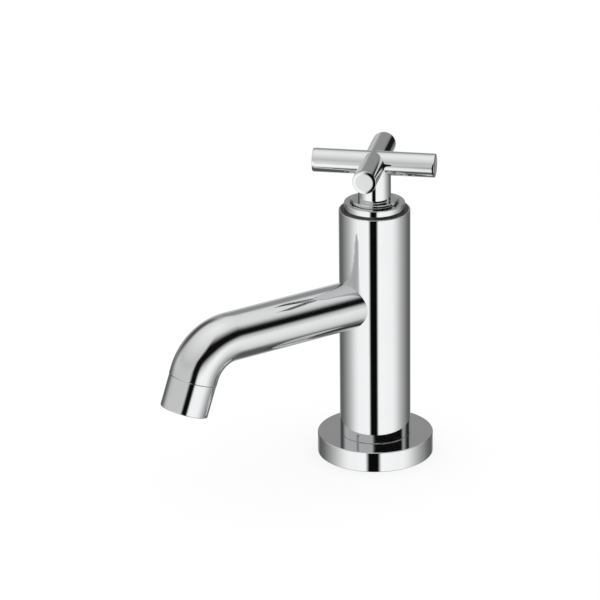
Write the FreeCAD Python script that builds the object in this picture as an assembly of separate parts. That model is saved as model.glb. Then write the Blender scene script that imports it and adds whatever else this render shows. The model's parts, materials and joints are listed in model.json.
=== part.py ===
import FreeCAD, Part
import math
import os

# Cross handle pillar tap, quarter turn, with a bent spout.
# Lengths in millimetres. Z points up along the column's axis and the spout points along -Y.
# The origin is in the plane of the worktop, on the column's axis.

# Base flange and its gasket
flange_radius = 30.0
flange_height = 10.8
flange_plate = 2.5  # thickness of the top plate over the hollow
flange_rim = 3.0  # width of the rim that stands on the worktop
gasket_thickness = 3.0
gasket_ledge = 4.0  # width of the step that presses on the gasket

# Column
column_radius = 18.33
column_height = 122.7  # from the flange's top to the column's top
foot_height = 13.2  # solid foot above the flange's top
foot_shoulder = 2.83  # step between the column and the part that passes through the flange
head_depth = 14.5  # depth of the wider bore for the valve holder
head_step = 1.0  # width of the ledge that the valve holder stands on

# Threads in the foot, as drilled
inlet_thread_radius = 4.459  # M10x1
inlet_thread_length = 13.0
inlet_offset = 5.0
inlet_passage_radius = 3.5
stud_thread_radius = 3.4  # M8
stud_thread_length = 12.0
stud_offset = 9.0
drill_point_angle = 118.0

# Riser pipe
riser_radius = 6.0
riser_wall = 1.0
riser_socket_depth = 7.0
inlet_chamber_radius = 5.0
inlet_chamber_depth = 2.5

# Spout
spout_height = 73.6  # spout's axis above the flange's top
spout_radius = 12.44
spout_wall = 3.0
spout_reach = 88.4  # from the column's axis to the start of the bend
spout_bend_radius = 24.36
spout_bend_angle = 70.0
spout_tail = 1.65  # straight stretch between the bend and the aerator

# Aerator
aerator_radius = 12.27
aerator_length = 16.8
aerator_thread_radius = 11.0  # on the spout's end
aerator_thread_length = 6.0
aerator_lip = 1.2  # width of the lip that holds the cartridge
aerator_lip_thickness = 1.4
aerator_washer_thickness = 1.8
cartridge_wall = 1.1
cartridge_plate = 1.2
jet_radius = 0.75
jet_count = 12
jet_circle_radius = 6.6
screen_thickness = 0.4
screen_hole = 1.5  # across the flats of a hexagonal hole
screen_pitch = 2.1
grid_thickness = 2.4
grid_hole = 1.9
grid_pitch = 2.4
screen_border = 1.7  # plain border around the holes
grid_border = 0.6

# Valve holder
holder_wall = 1.6
holder_flange_height = 9.0  # part in the column's wider bore
holder_length = 34.0
holder_socket_wall = 3.2
holder_seat_thickness = 1.8
holder_window_radius = 3.2
holder_window_count = 4
seat_hole_radius = 4.6
chamber_relief = 0.4  # the chamber is this much wider than the thread above it

# Headwork, the quarter turn valve that screws into the holder
headwork_thread_radius = 10.0
headwork_barrel_radius = 8.9
headwork_barrel_wall = 1.0
headwork_collar_rim = 2.0  # how far the collar reaches past the thread
headwork_collar_height = 2.0
hexagon_across_flats = 19.0
hexagon_height = 2.5
neck_radius = 7.2
neck_height = 1.4
headwork_gasket_thickness = 1.0
seat_seal_height = 2.2
seat_seal_width = 2.0
barrel_lift = 0.55  # the barrel stops this far above the seat, so the seal takes the load
fixed_disc_thickness = 3.2
moving_disc_thickness = 3.0
port_angle = 75.0
port_inner_radius = 1.5
port_outer_radius = 5.6
disc_lug_width = 3.0
driver_width = 4.0
driver_height = 2.3
driver_lug_depth = 1.5
driver_lug_length = 2.4
thrust_collar_radius = 6.6
thrust_collar_height = 1.7
outlet_window_width = 11.0
outlet_window_height = 3.2

# Spindle
journal_radius = 5.2
journal_rise = 2.1  # journal above the neck
spline_radius = 4.0
spline_depth = 0.45
spline_teeth = 20
spline_root_share = 0.36  # half a tooth's width at its root and tip, in pitches
spline_tip_share = 0.14
spindle_seal_rise = 7.5  # lower seal above the barrel's ceiling
spindle_seal_spacing = 4.0
spindle_washer_thickness = 0.5
clip_thickness = 0.8
clip_width = 2.2
clip_groove_depth = 0.8
clip_opening = 5.0

# Cover ring and glide ring
cover_rim = 0.42  # how far the ring reaches over the column's top
cover_height = 4.1
cover_skirt = 4.9  # length of the threaded skirt in the column
cover_skirt_wall = 2.53
cover_lip_height = 0.8
glide_ring_width = 0.8
glide_ring_thickness = 0.65

# Handle
hub_disc_radius = 12.0
hub_disc_height = 3.6
hub_disc_rise = 1.5  # how far the disc stands above the cover ring
stem_radius = 8.45
stem_height = 13.05  # from the disc's top to the underside of the rods
rod_radius = 6.15
rod_length = 63.0
rod_chamfer = 0.5
rod_spigot_radius = 2.5
hub_roof = 1.0  # metal between the adaptor's bore and the rods
adaptor_radius = 5.8
adaptor_flange_radius = 7.3
adaptor_flange_height = 0.8
grub_screw_radius = 2.0
grub_screw_drop = 6.6  # below the underside of the rods
grub_screw_bite = 0.9  # how deep it goes into the adaptor
grub_screw_recess = 0.25
grub_socket_across_flats = 2.0
grub_socket_depth = 1.6

# Seal cords
riser_cord = 1.4
foot_cord = 1.24
holder_cord = 1.5
spindle_cord = 1.2

# Fits
edge_chamfer = 0.3
braze_gap = 0.02
thread_gap = 0.1
insert_gap = 0.2  # between the aerator's bore and what lies in it
disc_side_gap = 0.2
glide_gap = 0.2
running_gap = 0.05
spline_gap = 0.05
seat_gap = 0.05
loose_gap = 0.3
seal_gap = 0.04
groove_side_gap = 0.15
seam_gap = 0.12
overrun = 1.0  # how far a cutting shape reaches past a face

# Heights and radii that follow from the sizes above
spigot_radius = column_radius - foot_shoulder
headwork_collar_radius = headwork_thread_radius + headwork_collar_rim
cover_skirt_bore = headwork_collar_radius + 2 * loose_gap
head_bore = cover_skirt_bore + cover_skirt_wall + thread_gap
column_bore = head_bore - head_step
column_top = flange_height + column_height
foot_top = flange_height + foot_height
riser_floor = foot_top - riser_socket_depth
head_ledge = column_top - head_depth
spout_axis = flange_height + spout_height
spout_bore = spout_radius - spout_wall
aerator_bore = aerator_thread_radius + thread_gap
insert_radius = aerator_bore - insert_gap
holder_radius = head_bore - thread_gap
holder_top = head_ledge + holder_flange_height
holder_bottom = holder_top - holder_length
holder_socket_top = holder_bottom + riser_socket_depth
seat_plane = holder_socket_top + holder_seat_thickness
chamber_radius = headwork_thread_radius + thread_gap + chamber_relief
chamber_top = head_ledge - holder_wall
holder_barrel_radius = chamber_radius + holder_wall
barrel_bore = headwork_barrel_radius - headwork_barrel_wall
disc_radius = barrel_bore - disc_side_gap
barrel_bottom = seat_plane + barrel_lift
fixed_disc_bottom = seat_plane + seat_seal_height
moving_disc_bottom = fixed_disc_bottom + fixed_disc_thickness + seat_gap
driver_bottom = moving_disc_bottom + moving_disc_thickness + seat_gap
thrust_collar_bottom = driver_bottom + driver_height
thrust_collar_top = thrust_collar_bottom + thrust_collar_height
barrel_ceiling = thrust_collar_top + seat_gap
journal_bore = journal_radius + running_gap
collar_bottom = holder_top + headwork_gasket_thickness
hexagon_bottom = collar_bottom + headwork_collar_height
hexagon_top = hexagon_bottom + hexagon_height
hexagon_corner = hexagon_across_flats / math.sqrt(3)
neck_top = hexagon_top + neck_height
washer_bottom = neck_top + seat_gap
clip_bottom = washer_bottom + spindle_washer_thickness + seat_gap
journal_top = neck_top + journal_rise
cover_radius = head_bore + cover_rim
cover_top = column_top + cover_height
hub_disc_top = cover_top + hub_disc_rise
hub_bottom = hub_disc_top - hub_disc_height
cover_recess = hub_disc_radius + loose_gap
cover_ledge = hub_bottom - glide_ring_thickness - glide_gap
rod_underside = hub_disc_top + stem_height
rod_axis = rod_underside + rod_radius
adaptor_bore_top = rod_underside - hub_roof
adaptor_top = adaptor_bore_top - loose_gap
adaptor_bottom = clip_bottom + clip_thickness + loose_gap + adaptor_flange_height
spindle_top = adaptor_top - loose_gap
adaptor_seat = adaptor_bottom + running_gap
grub_screw_height = rod_underside - grub_screw_drop

up = FreeCAD.Vector(0, 0, 1)


def point(x, y, z):
    return FreeCAD.Vector(x, y, z)


def turned(profile):
    # A solid turned about the column's axis from (radius, height) corners.
    corners = [point(radius, 0, height) for radius, height in profile]
    face = Part.Face(Part.makePolygon(corners + corners[:1]))
    return face.revolve(point(0, 0, 0), up, 360)


def rod(radius, bottom, top, x=0, y=0):
    return Part.makeCylinder(radius, top - bottom, point(x, y, bottom))


def ring(inner, outer, bottom, top):
    return turned([(inner, bottom), (outer, bottom), (outer, top), (inner, top)])


def block(width, depth, bottom, top, x=0, y=0):
    # An upright block centred on x and y.
    corner = point(x - width / 2, y - depth / 2, bottom)
    return Part.makeBox(width, depth, top - bottom, corner)


def drilled(radius, depth, y):
    # A blind hole from below, with the drill's pointed end.
    tip = radius / math.tan(math.radians(drill_point_angle / 2))
    hole = turned([(0, -overrun), (radius, -overrun), (radius, depth), (0, depth + tip)])
    return hole.translated(point(0, y, 0))


def prism(corners, bottom, top):
    path = [point(x, y, bottom) for x, y in corners]
    face = Part.Face(Part.makePolygon(path + path[:1]))
    return face.extrude(up * (top - bottom))


def hexagon(across_flats, x=0, y=0, turn=0):
    corner = across_flats / math.sqrt(3)
    angles = [math.radians(60 * step + turn) for step in range(6)]
    return [(x + corner * math.cos(a), y + corner * math.sin(a)) for a in angles]


def turned_about_axis(shape, degrees):
    copy = shape.copy()
    copy.rotate(point(0, 0, 0), up, degrees)
    return copy


def seal_ring(inner, cord, height):
    # A cord drawn with eight flats, which lies on a groove floor or a pipe of radius inner.
    middle = inner + seal_gap + cord / 2
    corner = cord / 2 / math.cos(math.pi / 8)
    angles = [math.pi / 8 * (2 * step + 1) for step in range(8)]
    return turned([(middle + corner * math.cos(a), height + corner * math.sin(a)) for a in angles])


def groove(inner, outer, cord, height):
    half = cord / 2 + groove_side_gap
    return ring(inner, outer, height - half, height + half)


def lying(shape, turn):
    # Lays a shape made along Z down along the horizontal line at the angle turn, at the rods' height.
    copy = shape.copy()
    copy.rotate(point(0, 0, 0), point(0, 1, 0), 90)
    copy.rotate(point(0, 0, 0), up, turn)
    copy.translate(point(0, 0, rod_axis))
    return copy


# Heights of the seals
riser_seal_low = riser_floor + riser_socket_depth / 2
riser_seal_high = holder_bottom + riser_socket_depth / 2
riser_groove = riser_radius + riser_cord + 2 * seal_gap
foot_seal_height = flange_height - flange_plate / 2
foot_groove = spigot_radius + running_gap * 2 - foot_cord - 2 * seal_gap
holder_seal_height = head_ledge + holder_flange_height / 3
holder_groove = head_bore - holder_cord - 2 * seal_gap
spindle_groove = journal_bore - spindle_cord - 2 * seal_gap
spindle_seal_low = barrel_ceiling + spindle_seal_rise
spindle_seal_heights = [spindle_seal_low, spindle_seal_low + spindle_seal_spacing]


def base_flange():
    hole = spigot_radius + 2 * running_gap
    pocket = flange_radius - flange_rim
    hollow = pocket - gasket_ledge
    step = gasket_thickness + seat_gap
    underside = flange_height - flange_plate
    return turned([
        (hole, flange_height),
        (flange_radius - edge_chamfer, flange_height),
        (flange_radius, flange_height - edge_chamfer),
        (flange_radius, edge_chamfer),
        (flange_radius - edge_chamfer, 0),
        (pocket, 0),
        (pocket, step),
        (hollow, step),
        (hollow, underside),
        (hole, underside),
    ])


def base_gasket():
    inner = spigot_radius + loose_gap
    outer = flange_radius - flange_rim - loose_gap / 2
    return ring(inner, outer, 0, gasket_thickness)


def foot_o_ring():
    return seal_ring(foot_groove, foot_cord, foot_seal_height)


def column_body():
    body = turned([
        (0, 0),
        (spigot_radius, 0),
        (spigot_radius, flange_height + seat_gap),
        (column_radius - edge_chamfer, flange_height + seat_gap),
        (column_radius, flange_height + seat_gap + edge_chamfer),
        (column_radius, column_top - edge_chamfer),
        (column_radius - edge_chamfer, column_top),
        (head_bore, column_top),
        (head_bore, head_ledge),
        (column_bore, head_ledge),
        (column_bore, foot_top),
        (0, foot_top),
    ])
    spout_hole = Part.makeCylinder(
        spout_radius + braze_gap, 2 * column_radius, point(0, 0, spout_axis), point(0, -1, 0))
    inlet_top = riser_floor - inlet_chamber_depth
    cuts = [
        spout_hole,
        groove(foot_groove, spigot_radius + overrun, foot_cord, foot_seal_height),
        rod(riser_radius + 2 * running_gap, riser_floor, foot_top + overrun),
        groove(riser_radius, riser_groove, riser_cord, riser_seal_low),
        rod(inlet_chamber_radius, inlet_top, riser_floor + overrun),
        rod(inlet_thread_radius, -overrun, inlet_thread_length, y=inlet_offset),
        rod(inlet_passage_radius, 0, riser_floor, y=inlet_offset),
        drilled(stud_thread_radius, stud_thread_length, -stud_offset),
    ]
    return body.cut(cuts)


def riser_pipe():
    bottom = riser_floor + running_gap * 2
    top = holder_socket_top - running_gap * 2
    return ring(riser_radius - riser_wall, riser_radius, bottom, top)


def riser_o_rings():
    low = seal_ring(riser_radius, riser_cord, riser_seal_low)
    high = seal_ring(riser_radius, riser_cord, riser_seal_high)
    return Part.makeCompound([low, high])


def bent_rod(radius, start, overrun):
    # A round bar along the spout's path, from y = -start to overrun beyond the tail.
    level = Part.makeCylinder(
        radius, spout_reach - start, point(0, -start, spout_axis), point(0, -1, 0))
    circle = Part.makeCircle(radius, point(0, -spout_reach, spout_axis), point(0, -1, 0))
    section = Part.Face(Part.Wire(circle))
    centre = point(0, -spout_reach, spout_axis - spout_bend_radius)
    bend = section.revolve(centre, point(1, 0, 0), spout_bend_angle)
    tail = at_outlet(rod(radius, 0, spout_tail + overrun))
    return level.fuse([bend, tail]).removeSplitter()


def at_outlet(shape):
    # Moves a shape made about Z so that it continues the spout from the end of the bend.
    angle = math.radians(spout_bend_angle)
    y = -spout_reach - spout_bend_radius * math.sin(angle)
    z = spout_axis - spout_bend_radius * (1 - math.cos(angle))
    turn = FreeCAD.Rotation(point(1, 0, 0), 90 + spout_bend_angle)
    moved = shape.copy()
    moved.Placement = FreeCAD.Placement(point(0, y, z), turn).multiply(moved.Placement)
    return moved


def at_aerator(shape):
    # The same, with heights counted from the shoulder that the aerator meets.
    return at_outlet(shape.translated(point(0, 0, spout_tail)))


def spout_tube():
    bar = bent_rod(spout_radius, 0, 0)
    thread = at_aerator(rod(aerator_thread_radius, -overrun, aerator_thread_length))
    bore = bent_rod(spout_bore, -column_radius, aerator_thread_length + overrun)
    shoulder = at_aerator(turned([
        (spout_radius - edge_chamfer / 2, 0),
        (spout_radius + overrun, -overrun - edge_chamfer / 2),
        (spout_radius + overrun, 0),
    ]))
    inside = rod(column_bore, 0, column_top)
    return bar.fuse(thread).cut([bore, shoulder, inside])


def aerator_housing():
    lip = aerator_bore - aerator_lip
    lip_top = aerator_length - aerator_lip_thickness
    return at_aerator(turned([
        (aerator_bore, seam_gap),
        (aerator_radius - edge_chamfer / 2, seam_gap),
        (aerator_radius, seam_gap + edge_chamfer / 2),
        (aerator_radius, aerator_length - edge_chamfer),
        (aerator_radius - edge_chamfer, aerator_length),
        (lip, aerator_length),
        (lip, lip_top),
        (aerator_bore, lip_top),
    ]))


def aerator_washer():
    outer = aerator_thread_radius
    bottom = aerator_thread_length + seat_gap
    return at_aerator(ring(spout_bore, outer, bottom, bottom + aerator_washer_thickness))


# Places inside the aerator, counted from the spout's shoulder
screen_place = aerator_thread_length + aerator_washer_thickness + 2 * seat_gap
cartridge_place = screen_place + screen_thickness + seat_gap
cartridge_end = aerator_length - aerator_lip_thickness - seat_gap
grid_place = cartridge_end - grid_thickness


def holed_plate(radius, hole_circle, hole, pitch, bottom, top):
    # A round plate with a honeycomb of hexagonal holes inside hole_circle.
    plate = rod(radius, bottom, top)
    reach = int(hole_circle / pitch) + 1
    holes = []
    for row in range(-reach, reach + 1):
        for column in range(-reach, reach + 1):
            x = pitch * (column + row / 2)
            y = pitch * row * math.sqrt(3) / 2
            if math.hypot(x, y) + hole / math.sqrt(3) < hole_circle:
                holes.append(prism(hexagon(hole, x, y, 30), bottom - overrun, top + overrun))
    return plate.cut(holes)


def aerator_screen():
    end = screen_place + screen_thickness
    return at_aerator(holed_plate(
        insert_radius, insert_radius - screen_border, screen_hole, screen_pitch, screen_place, end))


def aerator_cartridge():
    inner = insert_radius - cartridge_wall
    floor = cartridge_place + cartridge_plate
    cup = turned([
        (0, cartridge_place),
        (insert_radius, cartridge_place),
        (insert_radius, cartridge_end),
        (inner, cartridge_end),
        (inner, floor),
        (0, floor),
    ])
    jet = rod(jet_radius, cartridge_place - overrun, floor + overrun, x=jet_circle_radius)
    jets = [turned_about_axis(jet, 360 / jet_count * step) for step in range(jet_count)]
    return at_aerator(cup.cut(jets))


def aerator_grid():
    outer = insert_radius - cartridge_wall - seat_gap
    return at_aerator(holed_plate(
        outer, outer - grid_border, grid_hole, grid_pitch, grid_place, cartridge_end))


def valve_holder():
    socket = riser_radius + 2 * running_gap
    thread = headwork_thread_radius + thread_gap
    body = turned([
        (socket, holder_bottom),
        (riser_radius + holder_socket_wall, holder_bottom),
        (riser_radius + holder_socket_wall, holder_socket_top),
        (holder_barrel_radius, seat_plane),
        (holder_barrel_radius, head_ledge + seat_gap),
        (holder_radius, head_ledge + seat_gap),
        (holder_radius, holder_top - edge_chamfer),
        (holder_radius - edge_chamfer, holder_top),
        (thread, holder_top),
        (thread, chamber_top),
        (chamber_radius, chamber_top),
        (chamber_radius, seat_plane),
        (seat_hole_radius, seat_plane),
        (seat_hole_radius, holder_socket_top),
        (socket, holder_socket_top),
    ])
    window_height = barrel_ceiling - seat_gap - outlet_window_height / 2
    window = Part.makeCylinder(
        holder_window_radius, 2 * holder_barrel_radius, point(0, 0, window_height), point(1, 0, 0))
    step = 360 / holder_window_count
    windows = [turned_about_axis(window, step * (n + 0.5)) for n in range(holder_window_count)]
    grooves = [
        groove(riser_radius, riser_groove, riser_cord, riser_seal_high),
        groove(holder_groove, holder_radius + overrun, holder_cord, holder_seal_height),
    ]
    return body.cut(windows + grooves)


def holder_o_ring():
    return seal_ring(holder_groove, holder_cord, holder_seal_height)


def headwork_body():
    body = turned([
        (barrel_bore, barrel_bottom),
        (headwork_barrel_radius, barrel_bottom),
        (headwork_barrel_radius, chamber_top),
        (headwork_thread_radius, chamber_top + edge_chamfer),
        (headwork_thread_radius, collar_bottom),
        (headwork_collar_radius, collar_bottom),
        (headwork_collar_radius, hexagon_bottom),
        (neck_radius, hexagon_bottom),
        (neck_radius, neck_top),
        (journal_bore, neck_top),
        (journal_bore, barrel_ceiling),
        (barrel_bore, barrel_ceiling),
    ])
    hex_head = prism(hexagon(hexagon_across_flats), hexagon_bottom, hexagon_top)
    bore = rod(journal_bore, hexagon_bottom - overrun, hexagon_top + overrun)
    window = block(2 * headwork_thread_radius, outlet_window_width,
                   barrel_ceiling - outlet_window_height - seat_gap, barrel_ceiling - seat_gap)
    core = rod(thrust_collar_radius, barrel_bottom, barrel_ceiling)
    slots = block(2 * headwork_thread_radius, disc_lug_width + 2 * running_gap,
                  barrel_bottom - overrun, moving_disc_bottom)
    return body.fuse(hex_head.cut(bore)).cut([window.cut(core), slots]).removeSplitter()


def headwork_gasket():
    inner = headwork_thread_radius + thread_gap
    return ring(inner, headwork_collar_radius, holder_top, collar_bottom)


def seat_seal():
    outer = disc_radius - running_gap
    top = fixed_disc_bottom
    return ring(outer - seat_seal_width, outer, seat_plane, top)


def port_cuts(bottom, top, first_angle):
    # Two sector shaped ports, opposite each other, the first centred on first_angle.
    height = top - bottom + 2 * overrun
    start = point(0, 0, bottom - overrun)
    wedge = Part.makeCylinder(port_outer_radius, height, start, up, port_angle)
    wedge = wedge.cut(rod(port_inner_radius, bottom - 2 * overrun, top + 2 * overrun))
    turn = first_angle - port_angle / 2
    return [turned_about_axis(wedge, turn), turned_about_axis(wedge, turn + 180)]


def fixed_disc():
    top = fixed_disc_bottom + fixed_disc_thickness
    disc = rod(disc_radius, fixed_disc_bottom, top)
    reach = 2 * (headwork_barrel_radius - running_gap)
    lugs = block(reach, disc_lug_width, fixed_disc_bottom, top)
    return disc.fuse(lugs).cut(port_cuts(fixed_disc_bottom, top, 90)).removeSplitter()


def driver_lugs(gap, bottom, top):
    # The two lugs of the spindle that turn the moving disc, or their notches with a gap all round.
    place = disc_radius - driver_lug_length / 2
    length = driver_lug_length + 2 * gap
    width = driver_width + 2 * gap
    return [block(width, length, bottom, top, y=side * place) for side in (-1, 1)]


def moving_disc():
    top = moving_disc_bottom + moving_disc_thickness
    disc = rod(disc_radius - running_gap, moving_disc_bottom, top)
    notches = driver_lugs(running_gap, driver_bottom - driver_lug_depth - loose_gap, top + overrun)
    return disc.cut(port_cuts(moving_disc_bottom, top, 0) + notches)


def spline_star(outer, depth):
    # The outline of a spline with flat tips and flat roots.
    corners = []
    pitch = 2 * math.pi / spline_teeth
    for tooth in range(spline_teeth):
        middle = tooth * pitch
        flank = [(-spline_root_share, outer - depth), (-spline_tip_share, outer)]
        for share, radius in flank + [(-share, radius) for share, radius in flank[::-1]]:
            angle = middle + share * pitch
            corners.append((radius * math.cos(angle), radius * math.sin(angle)))
    return corners


def spindle():
    neck = spline_radius - spline_depth
    shaft = turned([
        (0, thrust_collar_bottom),
        (thrust_collar_radius, thrust_collar_bottom),
        (thrust_collar_radius, thrust_collar_top),
        (journal_radius, thrust_collar_top),
        (journal_radius, journal_top),
        (neck, journal_top),
        (neck, journal_top + edge_chamfer),
        (0, journal_top + edge_chamfer),
    ])
    seal_outer = journal_radius + overrun
    grooves = [groove(spindle_groove, seal_outer, spindle_cord, z) for z in spindle_seal_heights]
    clip_groove = ring(
        journal_radius - clip_groove_depth, journal_radius + overrun,
        clip_bottom - seat_gap / 2, clip_bottom + clip_thickness + seat_gap / 2)
    spline = prism(spline_star(spline_radius, spline_depth), journal_top + edge_chamfer, spindle_top)
    rim = rod(disc_radius, driver_bottom - driver_lug_depth, thrust_collar_bottom)
    bar = block(driver_width, 2 * disc_radius, driver_bottom, thrust_collar_bottom)
    lugs = driver_lugs(0, driver_bottom - driver_lug_depth, driver_bottom)
    driver = bar.fuse(lugs).common(rim)
    return shaft.fuse([spline, driver]).cut(grooves + [clip_groove]).removeSplitter()


def spindle_o_rings():
    return Part.makeCompound([seal_ring(spindle_groove, spindle_cord, z) for z in spindle_seal_heights])


def spindle_washer():
    return ring(journal_radius + running_gap, neck_radius, washer_bottom,
                washer_bottom + spindle_washer_thickness)


def spindle_clip():
    inner = journal_radius - clip_groove_depth + running_gap
    outer = inner + clip_width
    clip = ring(inner, outer, clip_bottom, clip_bottom + clip_thickness)
    opening = block(2 * outer, clip_opening, clip_bottom - overrun, clip_bottom + 2 * overrun, x=outer)
    return clip.cut(opening)


def cover_ring():
    skirt_radius = head_bore - thread_gap
    skirt_bottom = column_top - cover_skirt
    lip_bottom = cover_ledge - cover_lip_height
    lip = hexagon_corner + loose_gap
    return turned([
        (cover_skirt_bore, skirt_bottom),
        (skirt_radius, skirt_bottom),
        (skirt_radius, column_top + seat_gap),
        (cover_radius, column_top + seat_gap),
        (cover_radius, cover_top - edge_chamfer),
        (cover_radius - edge_chamfer, cover_top),
        (cover_recess + edge_chamfer, cover_top),
        (cover_recess, cover_top - edge_chamfer),
        (cover_recess, cover_ledge),
        (lip, cover_ledge),
        (lip, lip_bottom),
        (cover_skirt_bore, lip_bottom),
    ])


def glide_ring():
    outer = cover_recess - 2 * running_gap
    return ring(outer - glide_ring_width, outer, cover_ledge, cover_ledge + glide_ring_thickness)


def handle_hub():
    bore = adaptor_radius + 2 * running_gap
    counterbore = adaptor_flange_radius + loose_gap
    body = turned([
        (counterbore, hub_bottom),
        (hub_disc_radius, hub_bottom),
        (hub_disc_radius, hub_disc_top - edge_chamfer),
        (hub_disc_radius - edge_chamfer, hub_disc_top),
        (stem_radius, hub_disc_top),
        (stem_radius, rod_axis),
        (0, rod_axis),
        (0, adaptor_bore_top),
        (bore, adaptor_bore_top),
        (bore, adaptor_seat),
        (counterbore, adaptor_seat),
    ])
    saddle = rod(rod_radius + braze_gap, -rod_length, rod_length)
    screw_hole = Part.makeCylinder(
        grub_screw_radius + running_gap, 2 * stem_radius, point(0, 0, grub_screw_height), point(0, 1, 0))
    return body.cut([lying(saddle, 45), lying(saddle, -45), screw_hole])


def bar_end(sign):
    # Profile corners of a rod's outer end, with its chamfer.
    end = sign * rod_length / 2
    return [(rod_radius, end - sign * rod_chamfer), (rod_radius - rod_chamfer, end)]


def handle_long_rod():
    corners = [(0, -rod_length / 2)] + bar_end(-1)[::-1] + bar_end(1) + [(0, rod_length / 2)]
    bar = lying(turned(corners), 45)
    cross_hole = lying(rod(rod_spigot_radius + running_gap, -rod_length, rod_length), -45)
    return bar.cut(cross_hole)


def handle_short_rods():
    half = turned([(0, 0), (rod_radius, 0)] + bar_end(1) + [(0, rod_length / 2)])
    half = lying(half, -45)
    cope = lying(rod(rod_radius + braze_gap, -rod_length, rod_length), 45)
    spigot = lying(rod(rod_spigot_radius, running_gap, rod_radius + overrun), -45)
    bar = half.cut(cope).fuse(spigot).removeSplitter()
    return Part.makeCompound([bar, turned_about_axis(bar, 180)])


def spline_adaptor():
    # The spline's root gets wider by the gap, and its tip too, so that the star keeps its depth.
    body = turned([
        (0, adaptor_bottom - adaptor_flange_height),
        (adaptor_flange_radius, adaptor_bottom - adaptor_flange_height),
        (adaptor_flange_radius, adaptor_bottom),
        (adaptor_radius, adaptor_bottom),
        (adaptor_radius, adaptor_top),
        (0, adaptor_top),
    ])
    spline = prism(spline_star(spline_radius + spline_gap, spline_depth), hub_bottom, rod_underside)
    journal = rod(journal_radius + running_gap, hub_bottom, journal_top + edge_chamfer)
    pocket = Part.makeCylinder(
        grub_screw_radius + running_gap, adaptor_radius,
        point(0, adaptor_radius - grub_screw_bite - running_gap, grub_screw_height), point(0, 1, 0))
    return body.cut([spline, journal, pocket])


def grub_screw():
    inner_end = adaptor_radius - grub_screw_bite
    outer_end = stem_radius - grub_screw_recess
    screw = rod(grub_screw_radius, inner_end, outer_end)
    socket = prism(
        hexagon(grub_socket_across_flats), outer_end - grub_socket_depth, outer_end + overrun)
    screw = screw.cut(socket)
    screw.rotate(point(0, 0, 0), point(1, 0, 0), -90)
    screw.translate(point(0, 0, grub_screw_height))
    return screw


pieces = [
    base_flange, base_gasket, foot_o_ring, column_body, riser_pipe, riser_o_rings,
    spout_tube, aerator_housing, aerator_washer, aerator_screen, aerator_cartridge, aerator_grid,
    valve_holder, holder_o_ring, headwork_gasket, headwork_body, seat_seal, fixed_disc, moving_disc,
    spindle, spindle_o_rings, spindle_washer, spindle_clip, cover_ring, glide_ring,
    handle_hub, handle_long_rod, handle_short_rods, spline_adaptor, grub_screw,
]

os.makedirs("parts", exist_ok=True)
for piece in pieces:
    shape = piece()
    name = piece.__name__
    sound = shape.isValid() and all(solid.isClosed() for solid in shape.Solids)
    print(f"{name:20s} solids {len(shape.Solids)} volume {shape.Volume:9.1f} sound {sound}")
    shape.exportStep(f"parts/{name}.step")
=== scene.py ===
import bmesh
import bpy
import json
import math
from mathutils import Matrix, Vector
from mathutils.bvhtree import BVHTree
from mathutils.interpolate import poly_3d_calc


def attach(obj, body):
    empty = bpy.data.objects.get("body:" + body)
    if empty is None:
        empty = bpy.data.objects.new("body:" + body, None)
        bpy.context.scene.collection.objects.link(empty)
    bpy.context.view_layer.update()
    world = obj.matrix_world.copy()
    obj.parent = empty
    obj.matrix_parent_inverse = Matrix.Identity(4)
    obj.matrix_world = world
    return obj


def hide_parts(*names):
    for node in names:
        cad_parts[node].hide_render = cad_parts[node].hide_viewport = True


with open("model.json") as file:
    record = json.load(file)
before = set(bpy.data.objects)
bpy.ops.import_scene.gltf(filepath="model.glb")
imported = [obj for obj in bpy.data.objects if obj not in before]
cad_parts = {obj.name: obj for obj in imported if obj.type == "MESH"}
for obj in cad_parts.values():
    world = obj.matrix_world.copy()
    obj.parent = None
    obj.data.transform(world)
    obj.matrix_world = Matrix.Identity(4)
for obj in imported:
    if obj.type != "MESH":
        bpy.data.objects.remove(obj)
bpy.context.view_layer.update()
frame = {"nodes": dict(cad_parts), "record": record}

millimetre = 0.001
print("frame loaded:", len(frame["nodes"]), "nodes")


# Small helpers for objects and node trees

def newObject(name, data):
    made = bpy.data.objects.new(name, data)
    bpy.context.scene.collection.objects.link(made)
    return made


def evaluatedMesh(piece):
    graph = bpy.context.evaluated_depsgraph_get()
    return bpy.data.meshes.new_from_object(piece.evaluated_get(graph))


def addNode(tree, kind, inputs=None, **settings):
    node = tree.nodes.new(kind)
    for name, value in settings.items():
        setattr(node, name, value)
    for socket, value in (inputs or {}).items():
        if isinstance(value, bpy.types.NodeSocket):
            tree.links.new(value, node.inputs[socket])
        else:
            node.inputs[socket].default_value = value
    return node


def treeOf(*values):
    # The tree of the first socket among the values.
    return next(value.id_data for value in values if isinstance(value, bpy.types.NodeSocket))


def calculate(operation, *values):
    return addNode(treeOf(*values), "ShaderNodeMath", dict(enumerate(values)), operation=operation).outputs[0]


def add(*values):
    return chain("ADD", values)


def subtract(*values):
    return chain("SUBTRACT", values)


def multiply(*values):
    return chain("MULTIPLY", values)


def divide(*values):
    return chain("DIVIDE", values)


def chain(operation, values):
    result = values[0]
    for value in values[1:]:
        result = calculate(operation, result, value)
    return result


def clamp(value):
    return addNode(treeOf(value), "ShaderNodeClamp", {"Value": value}).outputs[0]


def between(value, low, high):
    return multiply(calculate("GREATER_THAN", value, low), calculate("LESS_THAN", value, high))


def smoothStep(value, start, end, low=0.0, high=1.0):
    sockets = {"Value": value, "From Min": start, "From Max": end, "To Min": low, "To Max": high}
    return addNode(treeOf(value), "ShaderNodeMapRange", sockets, interpolation_type="SMOOTHSTEP").outputs["Result"]


def mix(share, first, second, kind="FLOAT"):
    low, high, result = {"FLOAT": (2, 3, 0), "VECTOR": (4, 5, 1), "RGBA": (6, 7, 2)}[kind]
    sockets = {0: share, low: first, high: second}
    return addNode(treeOf(share, first, second), "ShaderNodeMix", sockets, data_type=kind).outputs[result]


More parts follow.
